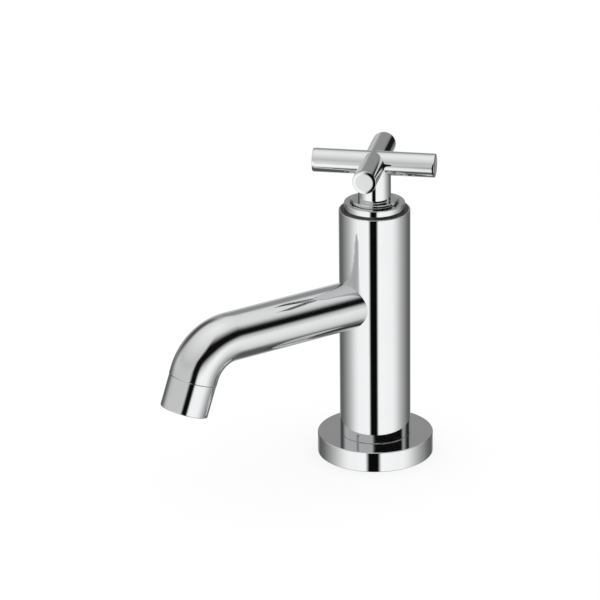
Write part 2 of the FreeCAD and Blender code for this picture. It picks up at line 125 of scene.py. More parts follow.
def noise(vector, scale, detail=2.0):
    sockets = {"Vector": vector, "Scale": scale, "Detail": detail}
    return addNode(treeOf(vector), "ShaderNodeTexNoise", sockets).outputs[0]


def separate(vector):
    return addNode(treeOf(vector), "ShaderNodeSeparateXYZ", {0: vector}).outputs


def combine(**axes):
    return addNode(treeOf(*axes.values()), "ShaderNodeCombineXYZ", axes).outputs[0]


def awayFromZ(axes):
    return calculate("SQRT", add(calculate("POWER", axes[0], 2.0), calculate("POWER", axes[1], 2.0)))


# Studio

studio = {
    "turn": 34.2,  # degrees, puts azimuth 0 of the light tent towards the camera
    "plainLight": 1.0,
    # Brightness of the table and the tent's walls by degrees away from the camera, and of its sky by elevation
    "sideLevels": [(0, 1.26), (56, 1.20), (68, 1.04), (78, 0.84), (90, 0.61), (104, 0.42), (126, 0.20),
                   (148, 0.12), (180, 0.60)],
    "skyLevels": [(0, 0.72), (12, 0.74), (24, 0.67), (38, 0.79), (56, 0.93), (90, 1.14)],
    "horizon": (-10.5, 8),
}
cardInputs = ("Centre Azimuth", "Centre Elevation", "Half Width", "Half Height", "Slope", "Lean", "Soft Sides",
              "Soft Ends")
cards = {  # the inputs above in degrees, slope and lean as shares, and the brightness at the end
    "rearRight": (134.5, 15.5, 22, 19, -0.23, 0, 31, 13, 0.03),
    "rearLeft": (-147, 21.5, 23, 19.5, -0.35, 0, 30, 25, 0.10),
    "rearMiddle": (167, 28.5, 22.5, 15, -0.1, 0, 10, 10, 0.34),
    "rearEdge": (147, 0.5, 11, 9.5, 0, 0, 8, 5, 0.012),
    "openingTop": (40.5, 32, 35, 18, -0.12, 0.5, 18, 34, 0.005),
    "opening": (47, 23.5, 52, 11.5, 0.06, 0.6, 15, 14, 0.006),
    "elbow": (0, 4, 13.5, 22, -0.05, 0.3, 13, 9, 0.005),
    "under": (0, -90, 200, 38.5, 0, 0, 1, 14, 0.12),
    "slit": (-5.2, -46.5, 12.8, 47, 0, 0, 9, 8, 0.004),
}


def softCardGroup():
    # A mask with soft edges in degrees of azimuth and elevation.
    group = bpy.data.node_groups.new("softCard", "ShaderNodeTree")
    for name in ("Azimuth", "Elevation", *cardInputs):
        group.interface.new_socket(name, in_out="INPUT", socket_type="NodeSocketFloat")
    group.interface.new_socket("Mask", in_out="OUTPUT", socket_type="NodeSocketFloat")
    given = addNode(group, "NodeGroupInput").outputs
    across = calculate("WRAP", subtract(given["Azimuth"], given["Centre Azimuth"]), 180.0, -180.0)
    along = subtract(given["Elevation"], given["Centre Elevation"])
    fromSide = subtract(across, multiply(along, given["Lean"]))
    fromEnd = subtract(along, multiply(across, given["Slope"]))
    masks = []
    for distance, half, soft in ((fromSide, "Half Width", "Soft Sides"), (fromEnd, "Half Height", "Soft Ends")):
        start = calculate("MULTIPLY_ADD", given[soft], -0.5, given[half])
        end = calculate("MULTIPLY_ADD", given[soft], 0.5, given[half])
        masks.append(smoothStep(calculate("ABSOLUTE", distance), start, end, 1.0, 0.0))
    addNode(group, "NodeGroupOutput", {"Mask": multiply(*masks)})
    return group


def levelRamp(value, stops, span):
    # Brightness that follows an angle, as a ramp from 0 to span degrees.
    ramp = addNode(treeOf(value), "ShaderNodeValToRGB", {"Fac": divide(value, span)})
    elements = ramp.color_ramp.elements
    while len(elements) < len(stops):
        elements.new(1.0)
    for element, (angle, level) in zip(elements, stops):
        element.position = angle / span
        element.color = (level, level, level, 1)
    return ramp.outputs["Color"]


def buildWorld():
    world = bpy.data.worlds.new("lightTent")
    bpy.context.scene.world = world
    world.use_nodes = True
    tree = world.node_tree
    tree.nodes.clear()
    direction = addNode(tree, "ShaderNodeTexCoord").outputs["Generated"]
    sockets = {"Vector": direction, "Rotation": (0, 0, math.radians(studio["turn"]))}
    axes = separate(addNode(tree, "ShaderNodeMapping", sockets, vector_type="POINT").outputs[0])
    azimuth = multiply(calculate("ARCTAN2", axes[1], axes[0]), math.degrees(1))
    elevation = multiply(calculate("ARCSINE", axes[2]), math.degrees(1))
    walls = levelRamp(calculate("ABSOLUTE", azimuth), studio["sideLevels"], 180.0)
    sky = levelRamp(elevation, studio["skyLevels"], 90.0)
    level = mix(smoothStep(elevation, *studio["horizon"]), walls, sky)
    cardGroup = softCardGroup()
    for name, (*sizes, cardLevel) in cards.items():
        sockets = {"Azimuth": azimuth, "Elevation": elevation, **dict(zip(cardInputs, sizes))}
        mask = addNode(tree, "ShaderNodeGroup", sockets, node_tree=cardGroup, label=name).outputs["Mask"]
        level = mix(mask, level, cardLevel)
    tent = addNode(tree, "ShaderNodeBackground", {"Color": level, "Strength": 1.0})
    plain = addNode(tree, "ShaderNodeBackground", {"Color": (1, 1, 1, 1), "Strength": studio["plainLight"]})
    glossy = addNode(tree, "ShaderNodeLightPath").outputs["Is Glossy Ray"]
    mixed = addNode(tree, "ShaderNodeMixShader", {0: glossy, 1: plain.outputs[0], 2: tent.outputs[0]})
    addNode(tree, "ShaderNodeOutputWorld", {"Surface": mixed.outputs[0]})


floorLook = {"reach": 3.0, "drop": 0.02, "glow": 0.72, "colour": 0.3, "grain": 40.0}  # metres, but drop millimetres


def buildFloor():
    reach, colour = floorLook["reach"], floorLook["colour"]
    corners = [(-reach, -reach), (reach, -reach), (reach, reach), (-reach, reach)]
    mesh = bpy.data.meshes.new("floor")
    mesh.from_pydata([(x, y, -floorLook["drop"] * millimetre) for x, y in corners], [], [(0, 1, 2, 3)])
    floor = newObject("floor", mesh)
    material = bpy.data.materials.new("paleFloor")
    material.use_nodes = True
    tree = material.node_tree
    tree.nodes.clear()
    grain = noise(addNode(tree, "ShaderNodeTexCoord").outputs["Object"], floorLook["grain"])
    shade = smoothStep(grain, 0.3, 0.7, colour * 0.99, colour)
    glow = addNode(tree, "ShaderNodeEmission", {"Color": (1, 1, 1, 1), "Strength": floorLook["glow"]})
    lit = addNode(tree, "ShaderNodeBsdfDiffuse", {"Color": shade})
    both = addNode(tree, "ShaderNodeAddShader", {0: glow.outputs[0], 1: lit.outputs[0]})
    plain = addNode(tree, "ShaderNodeBsdfDiffuse", {"Color": (0.8, 0.8, 0.8, 1)})
    direct = addNode(tree, "ShaderNodeLightPath").outputs["Is Camera Ray"]
    seen = addNode(tree, "ShaderNodeMixShader", {0: direct, 1: plain.outputs[0], 2: both.outputs[0]})
    addNode(tree, "ShaderNodeOutputMaterial", {"Surface": seen.outputs[0]})
    mesh.materials.append(material)
    floor.visible_glossy = False  # metal sees the tent's own table instead


cameraSetting = {  # millimetres and degrees, but the clip range in metres
    "azimuth": 55.75, "elevation": 21.29, "roll": -0.68, "aimRight": -38.47, "aimUp": 78.29, "distance": 1885.0,
    "lens": 216.4, "sensor": 36, "clip": (0.05, 20),
}


def buildCamera():
    azimuth, elevation, roll = (math.radians(cameraSetting[name]) for name in ("azimuth", "elevation", "roll"))
    right = Vector((math.cos(azimuth), math.sin(azimuth), 0))
    back = Vector((math.sin(azimuth) * math.cos(elevation), -math.cos(azimuth) * math.cos(elevation),
                   math.sin(elevation)))
    up = back.cross(right)
    aim = right * cameraSetting["aimRight"] + up * cameraSetting["aimUp"]
    place = (aim + back * cameraSetting["distance"]) * millimetre
    rolledRight = right * math.cos(roll) + up * math.sin(roll)
    rolledUp = up * math.cos(roll) - right * math.sin(roll)
    data = bpy.data.cameras.new("camera")
    data.lens = cameraSetting["lens"]
    data.sensor_width = cameraSetting["sensor"]
    data.clip_start, data.clip_end = cameraSetting["clip"]
    camera = newObject("camera", data)
    turn = Matrix((rolledRight, rolledUp, back)).transposed().to_4x4()
    camera.matrix_world = Matrix.Translation(place) @ turn
    bpy.context.scene.camera = camera


bpy.context.scene.view_settings.view_transform = "Standard"
buildWorld()
buildFloor()
buildCamera()
print("studio ready")


# Materials

def newMaterial(name):
    material = bpy.data.materials.new(name)
    material.use_nodes = True
    tree = material.node_tree
    return material, tree.nodes["Principled BSDF"], addNode(tree, "ShaderNodeTexCoord").outputs["Object"]


def addRelief(surface, height, strength, depth):
    # Depth in millimetres.
    sockets = {"Height": height, "Strength": strength, "Distance": depth * millimetre}
    bump = addNode(treeOf(height), "ShaderNodeBump", sockets)
    treeOf(height).links.new(bump.outputs[0], surface.inputs["Normal"])


def fill(surface, colour, roughness, constants):
    links = treeOf(colour).links
    links.new(colour, surface.inputs["Base Color"])
    links.new(roughness, surface.inputs["Roughness"])
    for name, value in constants.items():
        surface.inputs[name].default_value = value


chromeLook = {
    "bright": (0.735, 0.74, 0.745, 1), "dim": (0.70, 0.705, 0.71, 1), "patch": 60.0,
    "smooth": 0.03, "dull": 0.06, "smear": 220.0, "waveSize": 55.0, "wave": 0.02,
}


def chromePlate(name, look):
    # Polished plate: an even mirror with slow waves from the buffing wheel and a few duller patches.
    material, surface, place = newMaterial(name)
    colour = mix(noise(place, look["patch"]), look["dim"], look["bright"], "RGBA")
    dullness = smoothStep(noise(place, look["smear"], 4.0), 0.35, 0.75, look["smooth"], look["dull"])
    fill(surface, colour, dullness, {"Metallic": 1.0})
    addRelief(surface, noise(place, look["waveSize"], 1.0), look["wave"], 1.0)
    return material


brassLook = {
    "bright": (0.78, 0.60, 0.27, 1), "tarnish": (0.52, 0.36, 0.15, 1), "patch": 90.0,
    "smooth": 0.22, "dull": 0.42, "toolMarks": 2600.0, "markDepth": 0.35,
}


def turnedBrass(name, look):
    # Bare brass from the lathe: fine rings about the column's axis, and a little tarnish between them.
    material, surface, place = newMaterial(name)
    axes = separate(place)
    marks = noise(combine(X=awayFromZ(axes), Y=axes[2]), look["toolMarks"], 3.0)
    patches = smoothStep(noise(place, look["patch"], 4.0), 0.45, 0.8)
    shade = calculate("MULTIPLY_ADD", marks, 0.25, multiply(patches, 0.75))
    colour = mix(shade, look["bright"], look["tarnish"], "RGBA")
    fill(surface, colour, smoothStep(marks, 0.3, 0.7, look["smooth"], look["dull"]), {"Metallic": 1.0})
    addRelief(surface, marks, look["markDepth"], 0.02)
    return material


steelLook = {
    "bright": (0.64, 0.64, 0.62, 1), "dim": (0.47, 0.47, 0.46, 1), "smooth": 0.2, "dull": 0.38,
    "lines": (4200.0, 4200.0, 160.0), "lineDepth": 0.25, "rubs": 320.0,
}


def drawnSteel(name, look):
    # Drawn stainless steel: long fine lines along the part, crossed by a few paler rubs.
    material, surface, place = newMaterial(name)
    sockets = {"Vector": place, "Scale": look["lines"]}
    stretched = addNode(treeOf(place), "ShaderNodeMapping", sockets, vector_type="POINT")
    lines = noise(stretched.outputs[0], 1.0, 3.0)
    colour = mix(mix(0.5, lines, noise(place, look["rubs"], 3.0)), look["bright"], look["dim"], "RGBA")
    fill(surface, colour, smoothStep(lines, 0.3, 0.7, look["smooth"], look["dull"]), {"Metallic": 1.0})
    addRelief(surface, lines, look["lineDepth"], 0.01)
    return material


sealLook = {"colour": (0.022, 0.022, 0.023, 1), "bloom": (0.06, 0.06, 0.062, 1), "smooth": 0.38, "dull": 0.62,
            "grain": 900.0}
gasketLook = {"colour": (0.045, 0.045, 0.047, 1), "bloom": (0.10, 0.10, 0.10, 1), "smooth": 0.55, "dull": 0.8,
              "grain": 500.0}


def mouldedRubber(name, look):
    # Black rubber with a fine grain from the mould and a grey bloom in patches.
    material, surface, place = newMaterial(name)
    grain = noise(place, look["grain"] * 8, 3.0)
    bloom = smoothStep(noise(place, look["grain"] / 4, 4.0), 0.5, 0.78)
    colour = mix(mix(0.3, bloom, grain), look["colour"], look["bloom"], "RGBA")
    fill(surface, colour, mix(grain, look["smooth"], look["dull"]), {"Specular IOR Level": 0.4})
    addRelief(surface, grain, 0.4, 0.02)
    return material


ceramicLook = {
    "body": (0.90, 0.885, 0.84, 1), "speck": (0.74, 0.72, 0.67, 1), "smooth": 0.12, "dull": 0.3,
    "grains": 2600.0, "clouds": 160.0, "polish": 900.0,
}


def lappedCeramic(name, look):
    # White alumina, lapped flat: a close body with a few darker grains and a soft polish.
    material, surface, place = newMaterial(name)
    specks = smoothStep(noise(place, look["grains"], 4.0), 0.6, 0.72)
    colour = mix(mix(0.25, specks, noise(place, look["clouds"])), look["body"], look["speck"], "RGBA")
    polish = smoothStep(noise(place, look["polish"]), 0.3, 0.7, look["smooth"], look["dull"])
    fill(surface, colour, polish, {"Subsurface Weight": 0.08, "Subsurface Scale": 0.5 * millimetre})
    return material


whiteLook = {"colour": (0.86, 0.86, 0.835, 1), "flow": (0.80, 0.80, 0.77, 1), "smooth": 0.3, "dull": 0.45}
greyLook = {"colour": (0.46, 0.48, 0.50, 1), "flow": (0.40, 0.42, 0.44, 1), "smooth": 0.32, "dull": 0.5}
flowMarks = {"Scale": 60.0, "Distortion": 6.0, "Detail": 3.0}
sparkGrain = 5200.0


def mouldedPlastic(name, look):
    # Moulded acetal: slow flow marks in the colour, a waxy skin and a very fine spark grain.
    material, surface, place = newMaterial(name)
    flow = addNode(treeOf(place), "ShaderNodeTexWave", {"Vector": place, **flowMarks}).outputs["Fac"]
    colour = mix(smoothStep(flow, 0.2, 0.9), look["colour"], look["flow"], "RGBA")
    grain = noise(place, sparkGrain)
    fill(surface, colour, mix(grain, look["smooth"], look["dull"]),
         {"Subsurface Weight": 0.1, "Subsurface Scale": 0.6 * millimetre})
    addRelief(surface, grain, 0.2, 0.01)
    return material


materials = {
    "chrome": chromePlate("chromePlate", chromeLook),
    "handle_chrome": chromePlate("handleChrome", chromeLook),
    "brass": turnedBrass("turnedBrass", brassLook),
    "steel": drawnSteel("drawnSteel", steelLook),
    "seal_rubber": mouldedRubber("sealRubber", sealLook),
    "base_rubber": mouldedRubber("gasketRubber", gasketLook),
    "ceramic": lappedCeramic("lappedCeramic", ceramicLook),
    "white_plastic": mouldedPlastic("whiteAcetal", whiteLook),
    "grey_plastic": mouldedPlastic("greyAcetal", greyLook),
}
for subpart in frame["record"]["subparts"]:
    nodeMesh = frame["nodes"][subpart["node"]].data
    nodeMesh.materials.clear()
    nodeMesh.materials.append(materials[subpart["material_slot"]])
print("materials ready:", len(materials))


# Mesh helpers, in millimetres until the mesh is made

# Points closer than these are one, on the axis or welded. Faces whose cosine is above the last lie alongside.
near = {"point": 1e-4, "axis": 1e-6, "weld": 0.001, "facing": 0.99}


def arcCorners(centre, radius, start, end, steps=4):
    # An arc of a profile, between two angles in degrees, 0 straight out and 90 straight up.
    spokes = [math.radians(start + (end - start) * step / steps) for step in range(steps + 1)]
    return [(centre[0] + radius * math.cos(spoke), centre[1] + radius * math.sin(spoke), 0, centre)
            for spoke in spokes]


def roundedProfile(corners, steps=4):
    # Corners are (radius, height, rounding), and on an arc of its own also the arc's centre.
    # Gives the points and the true normals at both ends of each stretch.
    area = sum(a[0] * b[1] - b[0] * a[1] for a, b in zip(corners, corners[1:] + corners[:1]))
    if area < 0:
        corners = corners[::-1]
    points, spokes = [], []

    def keep(point, key=None, spoke=None):
        if not points or (point - points[-1]).length > near["point"]:
            points.append(point)
            spokes.append({})
        if key is not None:
            spokes[-1][key] = spoke

    for index, corner in enumerate(corners):
        here = Vector(corner[:2])
        if len(corner) > 3:
            keep(here, corner[3], (here - Vector(corner[3])).normalized())
            continue
        if not corner[2]:
            keep(here)
            continue
        before = (Vector(corners[index - 1][:2]) - here).normalized()
        after = (Vector(corners[(index + 1) % len(corners)][:2]) - here).normalized()
        half = before.angle(after) / 2
        centre = here + (before + after).normalized() * corner[2] / math.sin(half)
        start = here + before * corner[2] / math.tan(half) - centre
        end = here + after * corner[2] / math.tan(half) - centre
        turn = start.angle_signed(end)
        for step in range(steps + 1):
            spoke = Matrix.Rotation(-turn * step / steps, 2) @ start
            keep(centre + spoke, index, spoke.normalized())
    normals = []
    for index, point in enumerate(points):
        following = (index + 1) % len(points)
        run = points[following] - point
        flat = Vector((run.y, -run.x)).normalized()
        shared = [key for key in spokes[index] if key in spokes[following]]
        if shared:
            pair = spokes[index][shared[0]], spokes[following][shared[0]]
            side = 1 if pair[0].dot(flat) > 0 else -1
            normals.append((pair[0] * side, pair[1] * side))
        else:
            normals.append((flat, flat))
    return points, normals


def aboutZ(flat, angle):
    # A point or normal of a profile, turned about Z.
    return Vector((flat[0] * math.cos(angle), flat[0] * math.sin(angle), flat[1]))


def turnedShape(corners, sides):
    # Turns a profile about Z. Gives points, faces and a normal for each corner of each face.
    profile, profileNormals = roundedProfile(corners)
    angles = [2 * math.pi * side / sides for side in range(sides)]
    points, rings, faces, normals = [], [], [], []
    for flat in profile:
        if flat.x < near["axis"]:
            rings.append([len(points)] * sides)
            points.append(Vector((0, 0, flat.y)))
        else:
            rings.append(list(range(len(points), len(points) + sides)))
            points += [aboutZ(flat, angle) for angle in angles]
    for index, (low, high) in enumerate(profileNormals):
        following = (index + 1) % len(profile)
        onAxis = [profile[place].x < near["axis"] for place in (index, following)]
        if all(onAxis):
            continue
        for side in range(sides):
            beside = (side + 1) % sides
            corner = [(rings[index][side], low, side), (rings[index][beside], low, beside),
                      (rings[following][beside], high, beside), (rings[following][side], high, side)]
            if any(onAxis):
                corner.pop(1 if onAxis[0] else 2)
            faces.append([place for place, normal, turn in corner])
            normals.append([aboutZ(normal, angles[turn]) for place, normal, turn in corner])
    return points, faces, normals


def plainRod(radius, bottom, top, sides):
    return turnedShape([(0, bottom, 0), (radius, bottom, 0), (radius, top, 0), (0, top, 0)], sides)


def plainObject(name, points, faces):
    mesh = bpy.data.meshes.new(name)
    mesh.from_pydata(points, [], faces)
    return newObject(name, mesh)


def makePiece(name, shape, slot, place=None, trueNormals=True):
    points, faces, normals = movedShape(shape, place or Matrix.Identity(4))
    piece = plainObject(name, [point * millimetre for point in points], faces)
    mesh = piece.data
    mesh.polygons.foreach_set("use_smooth", [True] * len(mesh.polygons))
    if trueNormals:
        mesh.normals_split_custom_set([normal for face in normals for normal in face])
    mesh.materials.append(materials[slot])
    return piece


def movedShape(shape, place):
    points, faces, normals = shape
    turn = place.to_3x3()
    return [place @ point for point in points], faces, [[turn @ normal for normal in face] for face in normals]


def combineShapes(operation, shape, *others):
    # Cuts or joins shapes, and gives every face of the result the true normals of the face it comes from.
    worked = plainObject("worked", *shape[:2])
    for other in others:
        tool = plainObject("tool", *other[:2])
        modifier = worked.modifiers.new("combine", "BOOLEAN")
        modifier.operation, modifier.solver, modifier.object = operation, "EXACT", tool
        made = evaluatedMesh(worked)
        worked.modifiers.remove(modifier)
        worked.data = made
        bpy.data.objects.remove(tool)
    mesh = worked.data
    tidied = bmesh.new()
    tidied.from_mesh(mesh)
    bmesh.ops.remove_doubles(tidied, verts=tidied.verts, dist=near["weld"])
    bmesh.ops.dissolve_degenerate(tidied, edges=tidied.edges, dist=near["weld"])
    tidied.to_mesh(mesh)
    tidied.free()
    points = [vertex.co.copy() for vertex in mesh.vertices]
    faces = [list(polygon.vertices) for polygon in mesh.polygons]
    sources = [(source, BVHTree.FromPolygons(*source[:2])) for source in (shape, *others)]
    normals = []
    for polygon in mesh.polygons:
        facing, best = polygon.normal, None
        for source, tree in sources:
            spot, normal, index, distance = tree.find_nearest(polygon.center)
            side = normal.dot(facing)
            if abs(side) > near["facing"] and (best is None or distance < best[0]):
                best = (distance, source, index, math.copysign(1, side))
        if best is None or best[0] > near["weld"]:
            normals.append([facing.copy() for place in polygon.vertices])
            continue
        distance, source, index, side = best
        corners = [source[0][place] for place in source[1][index]]
        faceNormals = []
        for place in polygon.vertices:
            weights = poly_3d_calc(corners, points[place])
            blend = sum((normal * weight for normal, weight in zip(source[2][index], weights)), Vector())
            faceNormals.append((blend * side).normalized())
        normals.append(faceNormals)
    bpy.data.objects.remove(worked)
    return points, faces, normals


def finishPiece(piece, body, slot, *nodes):
    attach(piece, body)
    if nodes:
        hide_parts(*nodes)


# Geometry Nodes

numberInputs = ("Angle", "Ease", "Number")  # all other inputs are lengths


def runTree(piece, tree, size, slot):
    # Applies a tree to a piece, with its sizes in millimetres, and leaves a plain mesh.
    modifier = piece.modifiers.new(tree.name, "NODES")
    modifier.node_group = tree
    for item in tree.interface.items_tree:
        if item.in_out == "INPUT" and item.name == "Material":
            modifier[item.identifier] = materials[slot]
        elif item.in_out == "INPUT" and item.name in size:
            modifier[item.identifier] = size[item.name] * (1.0 if item.name in numberInputs else millimetre)
    made = evaluatedMesh(piece)
    piece.modifiers.remove(modifier)
    made.name = piece.name
    made.materials.clear()
    made.materials.append(materials[slot])
    made.polygons.foreach_set("material_index", [0] * len(made.polygons))
    piece.data = made


def newTree(name, *sizes):
    # An empty tree with a geometry socket at both ends and a named input for each size.
    tree = bpy.data.node_groups.new(name, "GeometryNodeTree")
    tree.interface.new_socket("Geometry", in_out="INPUT", socket_type="NodeSocketGeometry")
    for size in sizes:
        tree.interface.new_socket(size, in_out="INPUT", socket_type="NodeSocketFloat")
    tree.interface.new_socket("Material", in_out="INPUT", socket_type="NodeSocketMaterial")
    tree.interface.new_socket("Geometry", in_out="OUTPUT", socket_type="NodeSocketGeometry")
    return tree, addNode(tree, "NodeGroupInput").outputs


def endTree(geometry, given):
    tree = treeOf(geometry)
    real = addNode(tree, "GeometryNodeRealizeInstances", {0: geometry})
    dressed = addNode(tree, "GeometryNodeSetMaterial", {"Geometry": real.outputs[0], "Material": given["Material"]})
    addNode(tree, "NodeGroupOutput", {"Geometry": dressed.outputs[0]})
    return tree


def readAxes(tree):
    return separate(addNode(tree, "GeometryNodeInputPosition").outputs[0])


def movePoints(geometry, **sockets):
    return addNode(treeOf(geometry), "GeometryNodeSetPosition", {"Geometry": geometry, **sockets}).outputs[0]


def vectorMath(operation, first, second):
    sockets = {0: first, "Scale" if operation == "SCALE" else 1: second}
    return addNode(treeOf(first), "ShaderNodeVectorMath", sockets, operation=operation).outputs[0]


def rowAlong(axis, count, start, step):
    sockets = {"Count": count, "Start Location": combine(**{axis: start}), "Offset": combine(**{axis: step})}
    return addNode(treeOf(count), "GeometryNodeMeshLine", sockets).outputs[0]


def placeOn(points, instance, **sockets):
    sockets = {"Points": points, "Instance": instance, **sockets}
    return addNode(treeOf(points), "GeometryNodeInstanceOnPoints", sockets).outputs[0]


def circle(corners, radius):
    sockets = {"Resolution": corners, "Radius": radius}
    return addNode(treeOf(radius), "GeometryNodeCurvePrimitiveCircle", sockets).outputs[0]


def roundBar(path, corners, thickness, caps=False):
    sockets = {"Curve": path, "Profile Curve": circle(corners, multiply(thickness, 0.5)), "Fill Caps": caps}
    return addNode(treeOf(path), "GeometryNodeCurveToMesh", sockets).outputs[0]


# Screw threads, wound on a plain core with close rings

threadForm = {"steepness": 3.4, "fullness": 1.35}  # the flanks, by shares of a pitch away from the crest


def threadTree():
    tree, given = newTree("windThread", "Root", "Crest", "Pitch", "Start", "End")
    axes = readAxes(tree)
    away = awayFromZ(axes)
    turns = divide(calculate("ARCTAN2", axes[1], axes[0]), 2 * math.pi)
    phase = calculate("FRACT", subtract(divide(axes[2], given["Pitch"]), turns))
    fromCrest = calculate("ABSOLUTE", subtract(phase, 0.5))
    share = clamp(calculate("MULTIPLY_ADD", fromCrest, -threadForm["steepness"], threadForm["fullness"]))
    radius = mix(share, given["Root"], given["Crest"])
    stretch = divide(radius, calculate("MAXIMUM", away, 1e-6))
    wound = combine(X=multiply(axes[0], stretch), Y=multiply(axes[1], stretch), Z=axes[2])
    onCore = calculate("GREATER_THAN", away, multiply(given["Root"], 0.999))
    chosen = multiply(onCore, between(axes[2], given["Start"], given["End"]))
    return endTree(movePoints(given["Geometry"], Selection=chosen, Position=wound), given)


windThread = threadTree()


def threadRings(root, start, end, pitch, perTurn=8):
    # Profile corners close enough together for a thread to be wound on them.
    rings = max(2, round((end - start) / pitch * perTurn))
    return [(root, start + (end - start) * ring / rings, 0) for ring in range(rings + 1)]


def woundShape(shape, size):
    # Winds a thread on a shape and gives the shape back with its normals.
    piece = makePiece("thread", shape, "chrome", trueNormals=False)
    runTree(piece, windThread, size, "chrome")
    mesh = piece.data
    mesh.set_sharp_from_angle(angle=math.radians(24))
    points = [vertex.co / millimetre for vertex in mesh.vertices]
    faces = [list(polygon.vertices) for polygon in mesh.polygons]
    cornerNormals = [corner.vector.copy() for corner in mesh.corner_normals]
    normals = [[cornerNormals[loop] for loop in polygon.loop_indices] for polygon in mesh.polygons]
    bpy.data.objects.remove(piece)
    return points, faces, normals


# Base flange

flangeSize = {"radius": 30.0, "height": 10.8, "plate": 2.5, "rim": 3.0, "ledge": 4.0, "step": 3.05, "hole": 15.6,
              "edge": 0.4, "sides": 192}


def buildFlange():
    size = flangeSize
    pocket = size["radius"] - size["rim"]
    hollow = pocket - size["ledge"]
    underside = size["height"] - size["plate"]
    shape = turnedShape([
        (size["hole"], size["height"], 0),
        (size["hole"], underside, 0),
        (hollow, underside, 0.6),
        (hollow, size["step"], 0.2),
        (pocket, size["step"], 0),
        (pocket, 0, 0.2),
        (size["radius"], 0, size["edge"]),
        (size["radius"], size["height"], size["edge"]),
    ], size["sides"])
    finishPiece(makePiece("baseFlange", shape, "chrome"), "tap_body", "chrome", "base_flange")


# Cover ring on top of the column

# The shade ring sizes are for a thin black ring of painted shade in the gap under the cover ring.
coverSize = {
    "radius": 15.65, "bottom": 133.68, "top": 137.45, "edge": 0.45, "skirtBottom": 128.6, "skirtRadius": 15.13,
    "skirtBore": 12.6, "recess": 12.6, "ledge": 134.65, "lip": 11.27, "lipBottom": 133.68,
    "shadeRingBore": 15.2, "shadeRingRadius": 17.5, "shadeRingBottom": 133.52, "shadeRingTop": 133.66, "sides": 160,
}


def buildCover():
    size = coverSize
    shape = turnedShape([
        (size["skirtBore"], size["skirtBottom"], 0.15),
        (size["skirtRadius"], size["skirtBottom"], 0.3),
        (size["skirtRadius"], size["bottom"], 0),
        (size["radius"], size["bottom"], 0.1),
        (size["radius"], size["top"], size["edge"]),
        (size["recess"], size["top"], 0.3),
        (size["recess"], size["ledge"], 0),
        (size["lip"], size["ledge"], 0.15),
        (size["lip"], size["lipBottom"], 0.15),
        (size["skirtBore"], size["lipBottom"], 0),
    ], size["sides"])
    finishPiece(makePiece("coverRing", shape, "chrome"), "tap_body", "chrome", "cover_ring")
    # Painted shade: a thin ring of black rubber stands in for the shadow in the gap under the cover ring.
    seal = turnedShape([
        (size["shadeRingBore"], size["shadeRingBottom"], 0.05),
        (size["shadeRingRadius"], size["shadeRingBottom"], 0.06),
        (size["shadeRingRadius"], size["shadeRingTop"], 0.06),
        (size["shadeRingBore"], size["shadeRingTop"], 0.05),
    ], size["sides"])
    finishPiece(makePiece("paintedShadeRing", seal, "seal_rubber"), "tap_body", "seal_rubber")


# Spout, turned straight and then bent, as the real tube is

spoutSize = {
    "Level": 87.2, "Bend": 32.445, "Angle": 70.0, "Ease": 0.15, "Axis Height": 84.4, "Column Bore": 14.23,
    "tail": 0.45, "radius": 12.44, "bore": 9.44, "edge": 0.18, "sides": 144, "bendRings": 44,
    "levelRings": [0.0, 20.0, 54.0, 84.0], "linePoints": 1200, "lineTail": 12,
    "threadRadius": 11.0, "threadLength": 6.0, "threadPitch": 1.0, "threadDepth": 0.55, "threadEnds": 0.3,
}


def spoutTree():
    tree, given = newTree("bendSpout", "Level", "Bend", "Angle", "Ease", "Axis Height", "Column Bore")
    # The centre line: a fine line of points that turns by the eased share of the bend's angle.
    count, ease = spoutSize["linePoints"], given["Ease"]
    step = divide(add(given["Level"], given["Bend"], spoutSize["lineTail"] * millimetre), count - 1.0)
    line = addNode(tree, "GeometryNodeCurvePrimitiveLine")
    fine = addNode(tree, "GeometryNodeResampleCurve", {"Curve": line.outputs[0], "Count": count})
    middle = multiply(add(addNode(tree, "GeometryNodeInputIndex").outputs[0], 0.5), step)
    share = divide(subtract(middle, given["Level"]), given["Bend"])

    def eased(value):
        # Turning gathered over one easing stretch: x cubed less half x to the fourth.
        part = clamp(divide(value, ease))
        return multiply(calculate("POWER", part, 3.0), calculate("MULTIPLY_ADD", part, -0.5, 1.0), ease)

    evenSpan = calculate("MULTIPLY_ADD", ease, -2.0, 1.0)
    even = calculate("MINIMUM", calculate("MAXIMUM", subtract(share, ease), 0.0), evenSpan)
    gathered = calculate("MULTIPLY_ADD", ease, 0.5, add(eased(share), even))
    gathered = subtract(gathered, eased(subtract(1.0, share)))
    turned = divide(gathered, subtract(1.0, ease))
    angle = multiply(turned, calculate("RADIANS", given["Angle"]))
    sums = []
    for operation in ("COSINE", "SINE"):
        advance = multiply(calculate(operation, angle), step)
        sums.append(addNode(tree, "GeometryNodeAccumulateField", {0: advance}).outputs["Trailing"])
    place = combine(Y=multiply(sums[0], -1.0), Z=subtract(given["Axis Height"], sums[1]))
    path = movePoints(fine.outputs[0], Position=place)
    # Every point of the straight tube goes to its station on the line, at its own distance from it.
    straight = readAxes(tree)
    sockets = {"Curves": path, "Length": straight[2]}
    sample = addNode(tree, "GeometryNodeSampleCurve", sockets, mode="LENGTH").outputs
    lift = vectorMath("SCALE", vectorMath("CROSS_PRODUCT", sample["Tangent"], (1, 0, 0)), straight[1])
    bent = vectorMath("ADD", vectorMath("ADD", lift, combine(X=straight[0])), sample["Position"])
    # The first ring is cut to the round of the column's bore.
    square = multiply(given["Column Bore"], given["Column Bore"])
    cope = multiply(calculate("SQRT", subtract(square, multiply(straight[0], straight[0]))), -1.0)
    coped = combine(X=straight[0], Y=cope, Z=add(straight[1], given["Axis Height"]))
    place = mix(calculate("LESS_THAN", straight[2], millimetre), bent, coped, "VECTOR")
    return endTree(movePoints(given["Geometry"], Position=place), given)


